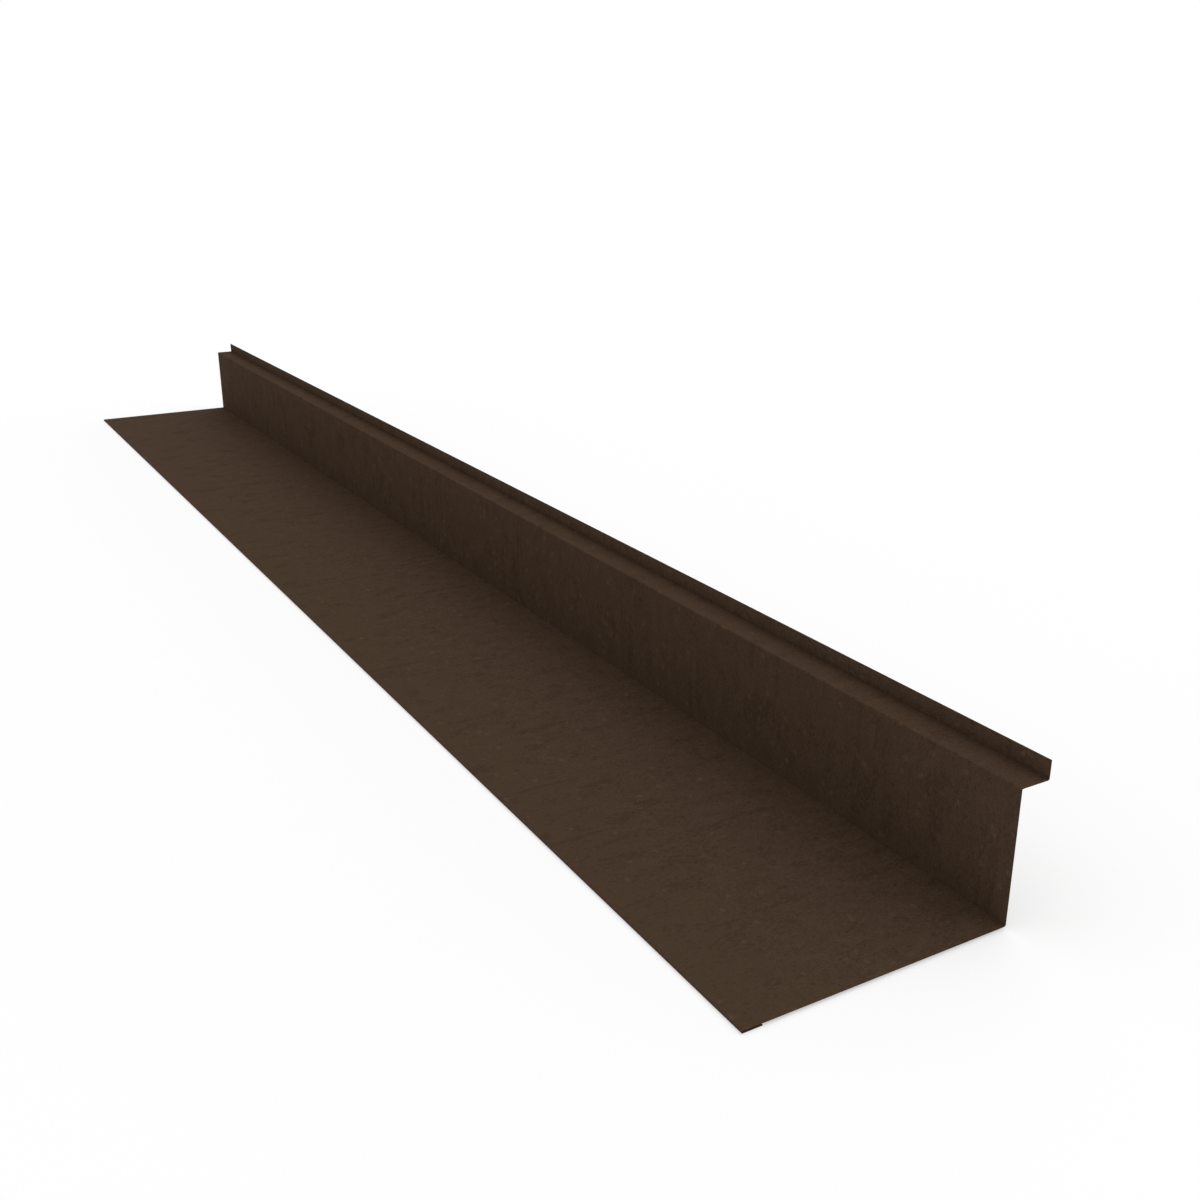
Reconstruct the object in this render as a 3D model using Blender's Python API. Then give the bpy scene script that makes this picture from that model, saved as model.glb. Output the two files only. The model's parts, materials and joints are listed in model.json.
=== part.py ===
"""Sidewall flashing: one length of pre-painted steel sheet, folded on a brake.

It closes the joint between a sloping roof and the wall beside it. Seen from its near end, looking
along +Y, the roof is on the left and the wall on the right:

                           | lip
                 wall +----+
                  leg |  ledge
                      |
      (===------------+
      hem   flange    heel

The sheet has one thickness all along. Its line runs from the free edge of the hem, round the hem's
half turn, across the flange, up the wall leg, back along the ledge and up the lip. Outside sizes are
taken on the side that faces the building: the underside of the flange, the back of the wall leg, the
underside of the ledge and the back of the lip.

Units are metres and +Z is up. The origin is under the middle of the part, level with the underside
of the hem.
"""

import math

import bmesh
import bpy
from mathutils import Vector

# Driving sizes
LENGTH = 2.000
SHEET = 0.0006  # 24 gauge steel
FLANGE_WIDTH = 0.221  # outside of the hem's fold to the back of the wall leg
WALL_HEIGHT = 0.105  # underside of the flange to the underside of the ledge
LEDGE_DEPTH = 0.025  # back of the wall leg to the back of the lip
LIP_HEIGHT = 0.015  # underside of the ledge to the free edge of the lip
HEM_RETURN = 0.016  # outside of the hem's fold to its free edge
HEM_GAP = 0.001  # clear height between the return and the flange
FOLD_INSIDE_RADIUS = 0.0008  # inside radius of the three square folds

# Each quarter turn of a fold is drawn with this many flats.
FLATS_PER_QUARTER = 6

PAINT_COLOUR = (0.068, 0.0425, 0.0275)  # dark bronze, linear
PAINT_ROUGHNESS = 0.65
SMOOTH_ANGLE = math.radians(30)

ALONG = Vector((0, 1, 0))


def clear_scene():
    for obj in list(bpy.data.objects):
        bpy.data.objects.remove(obj)


def fold_corners():
    """The sheet's mid line as sharp corners, each with the radius that rounds it off."""
    half_sheet = SHEET / 2
    square_radius = FOLD_INSIDE_RADIUS + half_sheet
    hem_radius = HEM_GAP / 2 + half_sheet

    left = -(FLANGE_WIDTH + LEDGE_DEPTH) / 2
    flange_underside = SHEET + HEM_GAP
    x_hem = left + half_sheet
    x_free_edge = left + HEM_RETURN
    x_wall = left + FLANGE_WIDTH - half_sheet
    x_lip = x_wall + LEDGE_DEPTH
    z_return = half_sheet
    z_flange = flange_underside + half_sheet
    z_ledge = z_flange + WALL_HEIGHT
    z_top = flange_underside + WALL_HEIGHT + LIP_HEIGHT

    return [
        (Vector((x_free_edge, 0, z_return)), 0),
        (Vector((x_hem, 0, z_return)), hem_radius),
        (Vector((x_hem, 0, z_flange)), hem_radius),
        (Vector((x_wall, 0, z_flange)), square_radius),
        (Vector((x_wall, 0, z_ledge)), square_radius),
        (Vector((x_lip, 0, z_ledge)), square_radius),
        (Vector((x_lip, 0, z_top)), 0),
    ]


def rounded_corner(before, corner, after, radius):
    """Points and outward directions round a square corner of the mid line.

    Each direction points to the left of the way the line runs: up from the flange, and towards the
    roof from the wall leg.
    """
    arriving = (corner - before).normalized()
    leaving = (after - corner).normalized()
    centre = corner + (leaving - arriving) * radius
    turns_left = arriving.cross(leaving).dot(ALONG) < 0
    stations = []
    for step in range(FLATS_PER_QUARTER + 1):
        angle = math.pi / 2 * step / FLATS_PER_QUARTER
        outward = arriving * math.sin(angle) - leaving * math.cos(angle)
        stations.append((centre + outward * radius, -outward if turns_left else outward))
    return stations


def mid_line():
    """The mid line as (point, direction to its left) pairs, from the hem's free edge to the lip's."""
    corners = fold_corners()
    stations = []
    for index, (point, radius) in enumerate(corners):
        if radius:
            stations += rounded_corner(corners[index - 1][0], point, corners[index + 1][0], radius)
        else:
            neighbour = corners[1][0] if index == 0 else corners[-2][0]
            forward = (neighbour - point) if index == 0 else (point - neighbour)
            stations.append((point, forward.normalized().cross(ALONG)))
    return stations


def sheet_mesh():
    """The sheet's section as a strip of quads at the near end, drawn out to the far end."""
    bm = bmesh.new()
    near_end = ALONG * (-LENGTH / 2)
    pairs = []
    for point, leftward in mid_line():
        pairs.append([bm.verts.new(near_end + point + leftward * side * SHEET / 2) for side in (1, -1)])
    for (left_a, right_a), (left_b, right_b) in zip(pairs, pairs[1:]):
        bm.faces.new((left_a, right_a, right_b, left_b))
    # The two arcs of the hem meet half way round, so the station there is made twice.
    bmesh.ops.remove_doubles(bm, verts=bm.verts, dist=SHEET / 100)
    drawn = bmesh.ops.extrude_face_region(bm, geom=bm.faces[:])
    far_end = [item for item in drawn["geom"] if isinstance(item, bmesh.types.BMVert)]
    bmesh.ops.translate(bm, verts=far_end, vec=ALONG * LENGTH)
    bmesh.ops.recalc_face_normals(bm, faces=bm.faces)
    mesh = bpy.data.meshes.new("flashing_sheet")
    bm.to_mesh(mesh)
    bm.free()
    mesh.shade_smooth()
    mesh.set_sharp_from_angle(angle=SMOOTH_ANGLE)
    return mesh


def bronze_paint():
    material = bpy.data.materials.new("bronze_paint")
    material.use_nodes = True
    shader = material.node_tree.nodes["Principled BSDF"]
    shader.inputs["Base Color"].default_value = (*PAINT_COLOUR, 1)
    shader.inputs["Roughness"].default_value = PAINT_ROUGHNESS
    shader.inputs["Metallic"].default_value = 0
    return material


def main():
    clear_scene()
    mesh = sheet_mesh()
    mesh.materials.append(bronze_paint())
    sheet = bpy.data.objects.new("flashing_sheet", mesh)
    bpy.context.scene.collection.objects.link(sheet)


main()
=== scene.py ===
"""Looks of a sidewall flashing: one folded sheet of pre-painted steel, dark bronze, on a pale floor.

The sheet is modelled anew from the frame's sizes, with finer bends and broken cut edges. Its paint is
a node material in object space. The streaks in it run across the sheet: along X on the flange and the
ledge, along Z on the wall leg and the lip. So each pattern has one size along Y and one for X and Z.
"""

import json
import math
from collections import namedtuple

import bmesh
import bpy
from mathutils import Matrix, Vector


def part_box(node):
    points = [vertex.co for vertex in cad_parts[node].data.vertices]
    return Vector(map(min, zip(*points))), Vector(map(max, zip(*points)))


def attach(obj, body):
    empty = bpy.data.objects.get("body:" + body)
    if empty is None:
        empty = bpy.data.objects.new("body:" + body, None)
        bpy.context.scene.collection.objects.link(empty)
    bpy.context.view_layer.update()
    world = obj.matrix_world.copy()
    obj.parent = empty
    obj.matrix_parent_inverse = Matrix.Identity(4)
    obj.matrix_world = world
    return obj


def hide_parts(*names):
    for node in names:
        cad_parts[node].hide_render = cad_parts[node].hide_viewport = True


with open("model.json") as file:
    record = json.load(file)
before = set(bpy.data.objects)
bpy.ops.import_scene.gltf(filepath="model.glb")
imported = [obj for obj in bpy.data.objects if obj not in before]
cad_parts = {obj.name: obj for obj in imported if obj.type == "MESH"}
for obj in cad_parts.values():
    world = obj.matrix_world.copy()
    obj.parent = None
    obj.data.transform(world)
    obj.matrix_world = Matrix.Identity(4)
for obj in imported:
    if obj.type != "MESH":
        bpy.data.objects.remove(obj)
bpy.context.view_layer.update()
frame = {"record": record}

# The sheet, in metres. The sizes of its leaves are read from the frame's mounts and box.
SHEET = 0.0006
HEM_RETURN = 0.016
HEM_GAP = 0.001
FOLD_INSIDE_RADIUS = 0.0008
FLATS_PER_QUARTER = 12
CUT_EDGE_ROUNDING = 0.00006
CUT_EDGE_FLATS = 2
SMOOTH_ANGLE = math.radians(30)

# The paint
BRONZE = (0.0697, 0.0436, 0.0280)
PAINT_ROUGHNESS = 0.66
GRAIN_ROUGHNESS = 0.12  # how much the roughness changes from the darkest grain to the palest
WORN_ROUGHNESS = 0.08  # how much rougher the worn patches are
PAINT_SPECULAR_LEVEL = 0.001
RELIEF_HEIGHT = 0.0001
RELIEF_STRENGTH = 0.5
TOOTH_RELIEF = 0.5  # how high the tooth stands, as a share of the grain's height

# Its patterns: how big their cells are across the sheet and along it, in metres, and how much of the
# colour each adds or takes away. Tooth is the fine texture of the coat. Wear, streaks and scuffs are
# where its darker grains crowd together. A pattern of patches or specks has a rise too: the value of
# its noise, or the distance in cells from a speck's middle, where it starts, and where it is full.
Pattern = namedtuple("Pattern", "across along share detail rise", defaults=(0, None))
TOOTH = Pattern(across=0.0016, along=0.0010, share=0.80, detail=1)
GRAIN = Pattern(across=0.0040, along=0.0024, share=0.22, detail=2)
MOTTLE = Pattern(across=0.021, along=0.0115, share=0.32, detail=2)
WEAR = Pattern(across=0.040, along=0.026, share=0.19, detail=1, rise=(0.58, 0.68))
STREAKS = Pattern(across=0.170, along=0.013, share=0.21, detail=1, rise=(0.63, 0.70))
SCUFFS = Pattern(across=0.0035, along=0.022, share=0.24, detail=1, rise=(0.62, 0.70))
SPECKS = Pattern(across=0.012, along=0.014, share=0.22, rise=(0.28, 0.16))
SPECK_SPREAD = 0.25  # how much less the smallest speck's radius is than the largest's, in cells
DARK_GRAINS = 0.13  # how much darker a dark grain is
DARK_GRAIN_RISE = (0.42, 0.31)  # the grain's noise where it starts to darken, and where it is dark
SCUFF_BAND = (0.026, 0.052)  # the scuffs' distances from the wall leg, near and far
SCUFF_BAND_EDGE = 0.003  # how far the scuffs fade on each side of those distances
CALM_BAND = (0.030, 0.105)  # distances from the roof edge: within the first the patterns are faint
CALM_SHARE = 0.40  # how strong the patterns are there
PAINTED_FOLD_SHADE = 0.14  # painted shade: how much darker the colour is made in the hollow of a fold
PAINTED_FOLD_SHADE_REACH = (0.0001, 0.0004)  # how far past a fold's inside radius the painted shade is full, and ends

# The camera, from the photo's vanishing points and the part's corners
CAMERA_FROM_HEEL = Vector((-0.31105, -0.26236, 0.25763))  # in lengths of the part, from the near heel
CAMERA_PITCH = math.radians(-19.991)
CAMERA_YAW = math.radians(-29.985)
PHOTO_SIDE = 1200
FOCAL_LENGTH_PX = 1313.5
SENSOR_WIDTH = 36.0

# The stage
LIGHT_TILT = (0.41, 0.30, 0.0)  # how much brighter than its mean the room is towards each axis
LIGHT_WAIST = 0.75  # how much dimmer the room is towards the ends of the part than across it
LEVEL_FACE_Y_SQUARED = 1 / 4  # the mean of a direction's y squared, over the light on a level face
FLOOR_RADIUS = 30.0
FLOOR_SIDES = 96
FLOOR_CLEARANCE = 0.0002
FLOOR_SHADOW = 0.5  # the share of the floor's shadow that is seen


def mount_place(name):
    for mount in frame["record"]["mounts"]:
        if mount["name"] == name:
            return Vector(mount["pos_m"])
    raise KeyError(name)


class Walk:
    """A walk along the sheet's mid line in the XZ plane, noting a station at each point it passes."""

    def __init__(self, start, heading):
        self.point = start.copy()
        self.heading = heading
        self.stations = []
        self.note()

    def note(self):
        self.stations.append((self.point.copy(), self.heading))

    def run(self, distance):
        self.point += distance * Vector((math.cos(self.heading), 0, math.sin(self.heading)))
        self.note()

    def turn(self, degrees, radius):
        """Turns left by so many degrees, or right where they are negative, on an arc."""
        steps = max(1, round(abs(degrees) / 90 * FLATS_PER_QUARTER))
        side = math.copysign(1, degrees)
        to_centre = self.heading + side * math.pi / 2
        centre = self.point + radius * Vector((math.cos(to_centre), 0, math.sin(to_centre)))
        start = self.heading
        for step in range(1, steps + 1):
            self.heading = start + math.radians(degrees) * step / steps
            outward = self.heading - side * math.pi / 2
            self.point = centre + radius * Vector((math.cos(outward), 0, math.sin(outward)))
            self.note()


def sheet_walk(low, high):
    """The mid line from the hem's free edge to the lip's, with the frame's leaf sizes."""
    half = SHEET / 2
    hem_radius = HEM_GAP / 2 + half
    fold_radius = FOLD_INSIDE_RADIUS + half
    flange_top = mount_place("flange_top").z
    wall_back = mount_place("wall_leg_back").x
    ledge_top = mount_place("ledge_top").z

    hem_run = HEM_RETURN - half - hem_radius
    flange_run = wall_back - low.x - SHEET - hem_radius - fold_radius
    wall_run = ledge_top - flange_top - 2 * fold_radius
    ledge_run = high.x - wall_back - 2 * fold_radius
    lip_run = high.z - (ledge_top - half) - fold_radius

    walk = Walk(Vector((low.x + HEM_RETURN, 0, low.z + half)), math.pi)
    walk.run(hem_run)
    walk.turn(-180, hem_radius)
    walk.run(flange_run)
    walk.turn(90, fold_radius)
    walk.run(wall_run)
    walk.turn(-90, fold_radius)
    walk.run(ledge_run)
    walk.turn(90, fold_radius)
    walk.run(lip_run)
    return walk


def make_sheet():
    low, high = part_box("flashing_sheet")
    bm = bmesh.new()
    sides = []
    for point, heading in sheet_walk(low, high).stations:
        left = Vector((-math.sin(heading), 0, math.cos(heading))) * (SHEET / 2)
        near = Vector((point.x, low.y, point.z))
        sides.append((bm.verts.new(near + left), bm.verts.new(near - left)))
    for (left_a, right_a), (left_b, right_b) in zip(sides, sides[1:]):
        bm.faces.new((left_a, right_a, right_b, left_b))
    drawn = bmesh.ops.extrude_face_region(bm, geom=bm.faces[:])
    far = [item for item in drawn["geom"] if isinstance(item, bmesh.types.BMVert)]
    bmesh.ops.translate(bm, verts=far, vec=(0, high.y - low.y, 0))
    bmesh.ops.recalc_face_normals(bm, faces=bm.faces)
    break_cut_edges(bm)
    mesh = bpy.data.meshes.new("painted_sheet")
    bm.to_mesh(mesh)
    bm.free()
    mesh.shade_smooth()
    mesh.set_sharp_from_angle(angle=SMOOTH_ANGLE)
    sheet = bpy.data.objects.new("painted_sheet", mesh)
    bpy.context.scene.collection.objects.link(sheet)
    return sheet


def break_cut_edges(bm):
    """Rounds off every edge that is sharper than the flats of a fold."""
    edges = [edge for edge in bm.edges if edge.calc_face_angle() > SMOOTH_ANGLE]
    bmesh.ops.bevel(
        bm, geom=edges, offset=CUT_EDGE_ROUNDING, segments=CUT_EDGE_FLATS, profile=0.5, affect="EDGES"
    )


class Nodes:
    """Short calls for the few kinds of node that the paint, the floor and the room are made of."""

    def __init__(self, tree):
        self.tree = tree

    def add(self, kind, **settings):
        node = self.tree.nodes.new(kind)
        for name, value in settings.items():
            setattr(node, name, value)
        return node

    def join(self, source, socket):
        """Sets a socket to a number, or links an output to it."""
        if isinstance(source, bpy.types.NodeSocket):
            self.tree.links.new(source, socket)
        else:
            socket.default_value = source

    def math(self, operation, first, second=0.0, third=0.0):
        node = self.add("ShaderNodeMath", operation=operation)
        for source, socket in zip((first, second, third), node.inputs):
            self.join(source, socket)
        return node.outputs[0]

    def changed(self, base, amount, share):
        """The base, with this share of itself added where the amount is 1, or taken away if negative."""
        return self.math("MULTIPLY", base, self.math("MULTIPLY_ADD", amount, share, 1.0))

    def split(self, vector):
        """A vector's outputs, by the names X, Y and Z."""
        node = self.add("ShaderNodeSeparateXYZ")
        self.join(vector, node.inputs[0])
        return node.outputs

    def ramp(self, source, start, full):
        """0 up to start, 1 from full on, and smooth between them. Full may be the smaller."""
        node = self.add("ShaderNodeMapRange", interpolation_type="SMOOTHSTEP")
        node.inputs["From Min"].default_value = min(start, full)
        node.inputs["From Max"].default_value = max(start, full)
        node.inputs["To Min"].default_value = 0.0 if start < full else 1.0
        node.inputs["To Max"].default_value = 1.0 if start < full else 0.0
        self.join(source, node.inputs["Value"])
        return node.outputs["Result"]

    def scaled(self, place, pattern):
        """The place counted in the pattern's cells."""
        node = self.add("ShaderNodeVectorMath", operation="MULTIPLY")
        self.join(place, node.inputs[0])
        node.inputs[1].default_value = (1 / pattern.across, 1 / pattern.along, 1 / pattern.across)
        return node.outputs[0]

    def noise(self, place, pattern):
        node = self.add("ShaderNodeTexNoise")
        node.inputs["Scale"].default_value = 1.0
        node.inputs["Detail"].default_value = pattern.detail
        self.join(self.scaled(place, pattern), node.inputs["Vector"])
        return node.outputs["Fac"]

    def patches(self, place, pattern):
        """1 in the patches where the pattern's noise is high, and 0 between them."""
        return self.ramp(self.noise(place, pattern), *pattern.rise)

    def spots(self, place, pattern):
        """The distance in cells to the nearest of some scattered points, and that point's own chance."""
        node = self.add("ShaderNodeTexVoronoi")
        node.inputs["Scale"].default_value = 1.0
        self.join(self.scaled(place, pattern), node.inputs["Vector"])
        chance = self.add("ShaderNodeSeparateColor")
        self.join(node.outputs["Color"], chance.inputs[0])
        return node.outputs["Distance"], chance.outputs[0]

    def seen(self):
        """1 for a ray that shows what it meets, and 0 for a ray that lights the part."""
        path = self.add("ShaderNodeLightPath").outputs
        seen = self.math("MAXIMUM", path["Is Camera Ray"], path["Is Glossy Ray"])
        return self.math("MAXIMUM", seen, path["Is Transmission Ray"])


def bronze_paint():
    material = bpy.data.materials.new("bronze_paint")
    material.use_nodes = True
    nodes = Nodes(material.node_tree)
    place = nodes.add("ShaderNodeTexCoord").outputs["Object"]
    axes = nodes.split(place)
    tooth = nodes.noise(place, TOOTH)
    grain = nodes.noise(place, GRAIN)
    mottle = nodes.noise(place, MOTTLE)
    worn = nodes.patches(place, WEAR)

    swing = -(TOOTH.share + GRAIN.share + MOTTLE.share) / 2
    for value, pattern in ((tooth, TOOTH), (grain, GRAIN), (mottle, MOTTLE)):
        swing = nodes.math("MULTIPLY_ADD", value, pattern.share, swing)
    shade = nodes.math("MULTIPLY_ADD", swing, calmness(nodes, axes), 1.0)
    shade = nodes.changed(shade, dark_grains(nodes, place, axes, grain, worn), -DARK_GRAINS)
    shade = nodes.changed(shade, specks(nodes, place), SPECKS.share)
    # Painted shade: the colour is made darker in the hollow of each fold.
    shade = nodes.changed(shade, painted_fold_shade_mask(nodes, axes), -PAINTED_FOLD_SHADE)
    colour = nodes.add("ShaderNodeVectorMath", operation="SCALE")
    colour.inputs[0].default_value = BRONZE
    nodes.join(shade, colour.inputs["Scale"])

    roughness = nodes.math("MULTIPLY_ADD", grain, GRAIN_ROUGHNESS, PAINT_ROUGHNESS - GRAIN_ROUGHNESS / 2)
    roughness = nodes.math("MULTIPLY_ADD", worn, WORN_ROUGHNESS, roughness)

    relief = nodes.add("ShaderNodeBump")
    relief.inputs["Strength"].default_value = RELIEF_STRENGTH
    relief.inputs["Distance"].default_value = RELIEF_HEIGHT
    nodes.join(nodes.math("MULTIPLY_ADD", tooth, TOOTH_RELIEF, grain), relief.inputs["Height"])

    shader = material.node_tree.nodes["Principled BSDF"]
    nodes.join(colour.outputs[0], shader.inputs["Base Color"])
    nodes.join(roughness, shader.inputs["Roughness"])
    nodes.join(relief.outputs[0], shader.inputs["Normal"])
    shader.inputs["Specular IOR Level"].default_value = PAINT_SPECULAR_LEVEL
    return material


def calmness(nodes, axes):
    """How strong the patterns are: faint along the roof edge, and full from the middle of the flange."""
    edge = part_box("flashing_sheet")[0].x
    near, far = CALM_BAND
    rise = nodes.ramp(axes["X"], edge + near, edge + far)
    return nodes.math("MULTIPLY_ADD", rise, 1 - CALM_SHARE, CALM_SHARE)


def dark_grains(nodes, place, axes, grain, worn):
    """1 on the dark grains. Where the paint is worn, streaked or scuffed, more of them are dark."""
    streaked = nodes.patches(place, STREAKS)
    scuffed = nodes.math("MULTIPLY", nodes.patches(place, SCUFFS), scuff_band(nodes, axes))
    crowding = nodes.math("MULTIPLY", worn, WEAR.share)
    crowding = nodes.math("MULTIPLY_ADD", streaked, STREAKS.share, crowding)
    crowding = nodes.math("MULTIPLY_ADD", scuffed, SCUFFS.share, crowding)
    return nodes.ramp(nodes.math("SUBTRACT", grain, crowding), *DARK_GRAIN_RISE)


def scuff_band(nodes, axes):
    """1 between the band's two distances from the wall leg, and 0 outside it."""
    wall = mount_place("wall_leg_back").x
    near, far = SCUFF_BAND
    inside = nodes.ramp(axes["X"], wall - near + SCUFF_BAND_EDGE, wall - near - SCUFF_BAND_EDGE)
    outside = nodes.ramp(axes["X"], wall - far - SCUFF_BAND_EDGE, wall - far + SCUFF_BAND_EDGE)
    return nodes.math("MULTIPLY", inside, outside)


def specks(nodes, place):
    """1 on the scattered pale specks, which differ in size."""
    distance, chance = nodes.spots(place, SPECKS)
    return nodes.ramp(nodes.math("MULTIPLY_ADD", chance, SPECK_SPREAD, distance), *SPECKS.rise)


def painted_fold_shade_mask(nodes, axes):
    """1 on the inside of the three square folds, and 0 a millimetre away from them: where shade is
    painted into the colour.
    """
    wall_back = mount_place("wall_leg_back").x
    flange_top = mount_place("flange_top").z
    ledge_top = mount_place("ledge_top").z
    lip_front = mount_place("lip_back").x - SHEET
    radius = FOLD_INSIDE_RADIUS
    centres = (
        (wall_back - SHEET - radius, flange_top + radius),
        (wall_back + radius, ledge_top - SHEET - radius),
        (lip_front - radius, ledge_top + radius),
    )
    full, none = PAINTED_FOLD_SHADE_REACH
    hollows = 0.0
    for x, z in centres:
        across = nodes.math("SUBTRACT", axes["X"], x)
        up = nodes.math("SUBTRACT", axes["Z"], z)
        square = nodes.math("MULTIPLY_ADD", across, across, nodes.math("MULTIPLY", up, up))
        distance = nodes.math("SQRT", square)
        hollows = nodes.math("ADD", nodes.ramp(distance, radius + none, radius + full), hollows)
    return hollows


def make_floor():
    bm = bmesh.new()
    bmesh.ops.create_circle(bm, cap_ends=True, segments=FLOOR_SIDES, radius=FLOOR_RADIUS)
    mesh = bpy.data.meshes.new("floor")
    bm.to_mesh(mesh)
    bm.free()
    floor = bpy.data.objects.new("floor", mesh)
    floor.location.z = -FLOOR_CLEARANCE
    mesh.materials.append(white_floor())
    bpy.context.scene.collection.objects.link(floor)


def white_floor():
    """Matt white. Where it is seen a share of it shines as white as it is lit, which thins the shadow."""
    material = bpy.data.materials.new("white_floor")
    material.use_nodes = True
    nodes = Nodes(material.node_tree)
    shader = material.node_tree.nodes["Principled BSDF"]
    shader.inputs["Base Color"].default_value = (1, 1, 1, 1)
    shader.inputs["Roughness"].default_value = 1.0
    shader.inputs["Specular IOR Level"].default_value = 0.0
    glow = nodes.add("ShaderNodeEmission")
    mix = nodes.add("ShaderNodeMixShader")
    nodes.join(nodes.math("MULTIPLY", nodes.seen(), 1 - FLOOR_SHADOW), mix.inputs[0])
    nodes.join(shader.outputs[0], mix.inputs[1])
    nodes.join(glow.outputs[0], mix.inputs[2])
    nodes.join(mix.outputs[0], material.node_tree.nodes["Material Output"].inputs["Surface"])
    return material


def make_world():
    """A white room, brightest on the wall's side, dimmer towards both ends and dark towards the near one.

    An open level face gets as much light as in an even room. Where it is seen, the room is plain white.
    """
    world = bpy.data.worlds.new("studio")
    world.use_nodes = True
    nodes = Nodes(world.node_tree)
    direction = nodes.add("ShaderNodeTexCoord").outputs["Generated"]
    tilt = nodes.add("ShaderNodeVectorMath", operation="DOT_PRODUCT")
    nodes.join(direction, tilt.inputs[0])
    tilt.inputs[1].default_value = LIGHT_TILT
    along = nodes.split(direction)["Y"]
    along_squared = nodes.math("MULTIPLY", along, along)
    light = nodes.math("ADD", tilt.outputs["Value"], 1.0)
    light = nodes.math("MULTIPLY_ADD", along_squared, -LIGHT_WAIST, light)
    light = nodes.math("MAXIMUM", light, 0.0)
    light = nodes.math("MULTIPLY", light, 1 / (1 - LIGHT_WAIST * LEVEL_FACE_Y_SQUARED))

    seen = nodes.seen()
    unseen = nodes.math("SUBTRACT", 1.0, seen)
    background = world.node_tree.nodes["Background"]
    background.inputs["Color"].default_value = (1, 1, 1, 1)
    nodes.join(nodes.math("MULTIPLY_ADD", light, unseen, seen), background.inputs["Strength"])
    bpy.context.scene.world = world


def make_camera():
    low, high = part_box("flashing_sheet")
    heel = Vector((mount_place("wall_leg_back").x, low.y, mount_place("flange_top").z - SHEET))
    data = bpy.data.cameras.new("camera")
    data.sensor_width = SENSOR_WIDTH
    data.lens = FOCAL_LENGTH_PX / PHOTO_SIDE * SENSOR_WIDTH
    camera = bpy.data.objects.new("camera", data)
    camera.location = heel + CAMERA_FROM_HEEL * (high.y - low.y)
    camera.rotation_euler = (math.pi / 2 + CAMERA_PITCH, 0, CAMERA_YAW)
    bpy.context.scene.collection.objects.link(camera)
    bpy.context.scene.camera = camera


make_camera()
make_world()
make_floor()
sheet = make_sheet()
sheet.data.materials.append(bronze_paint())
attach(sheet, "root")
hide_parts("flashing_sheet")

bpy.context.scene.view_settings.view_transform = "Standard"
